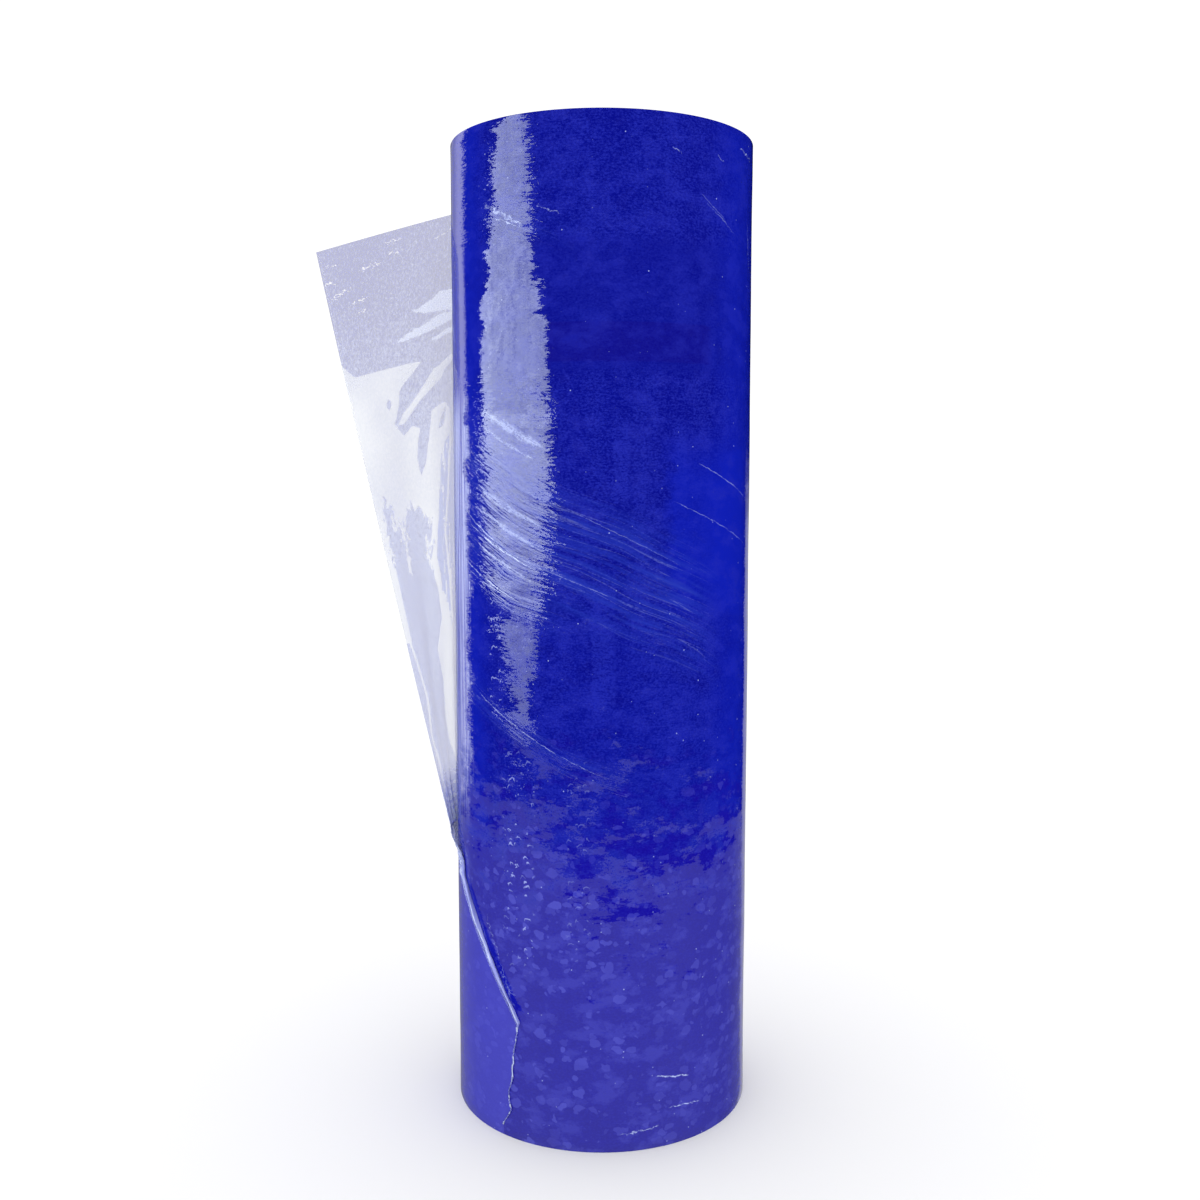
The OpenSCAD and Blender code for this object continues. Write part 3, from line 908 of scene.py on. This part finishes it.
layer, tree, shader, place = start_material("loose_film")
white_depth, pale_depth, wall_share, rolled_share, fleck_near = (
    add_node(tree, "ShaderNodeAttribute", attribute_name=name).outputs["Fac"]
    for name in ("white_facet", "pale_facet", "on_wall", "rolled_up", "fleck")
)
height = add_node(tree, "ShaderNodeSeparateXYZ", {0: place}).outputs["Z"]
ragged_edge = calc(tree, "SUBTRACT", cloud(tree, place, 700, 3, 0.6), 0.5)
feathers = calc(tree, "SUBTRACT", cloud(tree, stretched(tree, place, 1, 1, 0.10), 620, 3, 0.7), 0.5)
feathery = both(tree, belt(tree, height, 0.262, 0.296, 0.010), ramp(tree, white_depth, 1.0, 5.0, 1.0, 0.0))
feathery = both(tree, feathery, ramp(tree, pale_depth, -2.0, 0.0, 1.0, 0.0))
border = total(tree, (ragged_edge, 0.8), (both(tree, feathers, feathery), 14.0))
is_white = ramp(tree, total(tree, white_depth, border), -0.08, 0.16)
is_pale = ramp(tree, total(tree, pale_depth, (ragged_edge, 2.6)), -0.1, 0.25)
grain = cloud(tree, stretched(tree, place, 1, 1, 0.35), 1300, 2, 0.75)
slow = cloud(tree, stretched(tree, place, 1, 1, 0.5), 22, 2)
# Painted shading by height, with grain and slow random tone: paler lower down, where the sheet leans to the light
lit_and_grain_share = total(tree, ramp(tree, height, 0.26, 0.44, 1.0, 0.0), (grain, 3.2), (slow, 0.5), -1.85)
base = colours(tree, within(tree, lit_and_grain_share), SHADED_STEEP_GREY, LIT_LEANING_GREY)
pale_tone = colours(tree, ramp(tree, height, 0.360, 0.372), LAYER_PALE, LAYER_PALE_HIGH)
base = colours(tree, calc(tree, "MULTIPLY", is_pale, 0.85), base, pale_tone)
white_share = ramp(tree, total(tree, slow, (grain, 0.25), (height, -5.0), 1.475), 0.30, 0.62)
white_tone = colours(tree, white_share, LAYER_WHITE_HIGH, LAYER_WHITE)
white_tone = colours(tree, wall_share, white_tone, WALL_WHITE)
base = colours(tree, wall_share, base, WALL_LAYER)
base = colours(tree, is_white, base, white_tone)
broken = cloud(tree, stretched(tree, place, 0.7, 0.7, 1.3), 800, 3, 0.7)
glints = ramp(tree, total(tree, (fleck_near, -0.16), (broken, 1.6)), 0.74, 0.84)
base = colours(tree, glints, base, GLINT_WHITE)
tree.links.new(base, shader.inputs["Base Color"])
shader.inputs["Roughness"].default_value = 0.10
solid = calc(tree, "MAXIMUM", rolled_share, calc(tree, "MAXIMUM", glints, both(tree, is_white, wall_share)))
cover = total(tree, (within(tree, solid), ROLLED_ALPHA - LAYER_ALPHA), LAYER_ALPHA)
tree.links.new(cover, shader.inputs["Alpha"])
raise_surface(tree, shader, grain, 0.00004)
loose_end.data.materials.append(layer)

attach(loose_end, "root")
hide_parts("film")


# Room.
# The roll stands on a plain pale floor in front of a white backdrop. A tall soft light stands to its left and makes
# the one long highlight; the rest is even light from all round.
CAMERA_PLACE = (0, -0.620, 0.3044)
CAMERA_DOWN = 5.57
CAMERA_LENS = 38.26
FLOOR_FRONT = -0.56
FLOOR_BACK = 4.0
FLOOR_HALF = 4.0
EVEN_LIGHT = 1.2
BACKDROP = 1.104

select_nothing()
bpy.ops.mesh.primitive_plane_add(size=1)
floor = bpy.context.object
floor.name = "floor"
floor.scale = (2 * FLOOR_HALF, FLOOR_BACK - FLOOR_FRONT, 1)
floor.location = (0, (FLOOR_BACK + FLOOR_FRONT) / 2, 0)
bpy.ops.object.transform_apply(location=True, rotation=True, scale=True)
pale_floor, tree, shader, place = start_material("pale_floor")
shader.inputs["Base Color"].default_value = (0.92, 0.92, 0.92, 1)
shader.inputs["Roughness"].default_value = 1.0
shader.inputs["Specular IOR Level"].default_value = 0.0
floor.data.materials.append(pale_floor)
floor.visible_glossy = False

# In reflections the room is dark, but for a bright panel behind the roll on either side and the table in front
world = bpy.data.worlds.new("studio")
world.use_nodes = True
bpy.context.scene.world = world
tree = world.node_tree
background = next(node for node in tree.nodes if node.type == "BACKGROUND")
seen = tree.nodes.new("ShaderNodeLightPath").outputs
sky_place = tree.nodes.new("ShaderNodeTexCoord").outputs["Generated"]
way = add_node(tree, "ShaderNodeSeparateXYZ", {0: sky_place}).outputs
leftwards = calc(tree, "MULTIPLY", way["X"], -1.0)
to_left = calc(tree, "MULTIPLY", calc(tree, "ARCTAN2", leftwards, way["Y"]), 180 / math.pi)
left_panel = both(tree, belt(tree, to_left, 18.0, 50.0, 6.0), ramp(tree, to_left, 28.0, 50.0, 0.45, 1.5))
left_panel = both(tree, left_panel, ramp(tree, way["Z"], -0.265, -0.225))
right_panel = both(tree, belt(tree, to_left, -30.0, -14.0, 3.0), ramp(tree, way["Z"], -0.06, 0.03, 0.5, 0.0))
panels = total(tree, left_panel, right_panel)
table = ramp(tree, way["Z"], -0.275, -0.262, 1.0, 0.0)
table = both(tree, table, ramp(tree, calc(tree, "ABSOLUTE", to_left), 50.0, 130.0, 0.25, 0.75))
mirrored = calc(tree, "MAXIMUM", panels, table)
seen_mirrored = both(tree, seen["Is Glossy Ray"], mirrored)
strength = total(tree, (seen["Is Diffuse Ray"], EVEN_LIGHT), seen_mirrored, (seen["Is Camera Ray"], BACKDROP))
tree.links.new(strength, background.inputs["Strength"])
background.inputs["Color"].default_value = (1, 1, 1, 1)

# The light's window, in shares of its size: the height, then where its right and left edges are at that height
LIGHT_TURN = math.radians(72)
LIGHT_AWAY = 0.90
LIGHT_SIZE = (1.30, 0.95)
LIGHT_WINDOW = (
    (0.00, 0.360, 0.345), (0.02, 0.310, 0.420), (0.05, 0.253, 0.473), (0.11, 0.217, 0.549), (0.17, 0.157, 0.672),
    (0.19, 0.095, 0.728), (0.22, 0.056, 0.790), (0.29, 0.027, 0.834), (0.38, 0.023, 0.842), (0.42, 0.048, 0.860),
    (0.47, 0.084, 0.885), (0.50, 0.142, 0.820), (0.53, 0.220, 0.770), (0.58, 0.251, 0.700), (0.66, 0.288, 0.640),
    (0.73, 0.306, 0.590), (1.00, 0.330, 0.520),
)
light = bpy.data.lights.new("tall_soft_light", "AREA")
light.shape = "RECTANGLE"
light.size, light.size_y = LIGHT_SIZE
light.color = (0.84, 0.93, 1.0)
light.energy = 6.0 * math.pi * light.size * light.size_y
light.use_nodes = True
tree = light.node_tree
glow = next(node for node in tree.nodes if node.type == "EMISSION")
across, up, _ = add_node(
    tree, "ShaderNodeSeparateXYZ", {0: tree.nodes.new("ShaderNodeNewGeometry").outputs["Parametric"]}
).outputs
edges = []
for side in (1, 2):
    curve = add_node(tree, "ShaderNodeFloatCurve", {"Value": up})
    points = curve.mapping.curves[0].points
    points[0].location = (0.0, LIGHT_WINDOW[0][side])
    points[1].location = (1.0, LIGHT_WINDOW[-1][side])
    for row in LIGHT_WINDOW[1:-1]:
        points.new(row[0], row[side])
    for point in points:
        point.handle_type = "VECTOR"
    curve.mapping.update()
    edges.append(curve.outputs[0])
rightwards = calc(tree, "SUBTRACT", 1.0, across)
window = both(
    tree,
    ramp(tree, calc(tree, "SUBTRACT", rightwards, edges[0]), -0.008, 0.008),
    ramp(tree, calc(tree, "SUBTRACT", edges[1], rightwards), -0.008, 0.008),
)
evenness = both(tree, ramp(tree, up, 0.08, 0.26, 0.50, 1.0), ramp(tree, up, 0.40, 0.70, 1.0, 0.85))
evenness = both(tree, evenness, total(tree, (belt(tree, up, 0.20, 0.34, 0.05), 0.24), 1.0))
uneven_place = add_node(tree, "ShaderNodeCombineXYZ", {"X": across, "Y": up, "Z": 0.0}).outputs[0]
evenness = both(tree, evenness, total(tree, (cloud(tree, uneven_place, 20.0, 3, 0.7, "2D"), 2.0), 0.05))
tree.links.new(both(tree, window, evenness), glow.inputs["Strength"])
tall_light = bpy.data.objects.new("tall_soft_light", light)
bpy.context.scene.collection.objects.link(tall_light)
tall_light.location = (-LIGHT_AWAY * math.sin(LIGHT_TURN), -LIGHT_AWAY * math.cos(LIGHT_TURN), LIGHT_SIZE[1] / 2)
tall_light.rotation_euler = (math.radians(90), 0, -LIGHT_TURN)
tall_light.visible_diffuse = False

camera = bpy.data.cameras.new("camera")
camera.lens = CAMERA_LENS
camera.sensor_width = 36
viewer = bpy.data.objects.new("camera", camera)
bpy.context.scene.collection.objects.link(viewer)
viewer.location = CAMERA_PLACE
viewer.rotation_euler = (math.radians(90 - CAMERA_DOWN), 0, 0.0013)
bpy.context.scene.camera = viewer
bpy.context.scene.view_settings.view_transform = "Standard"
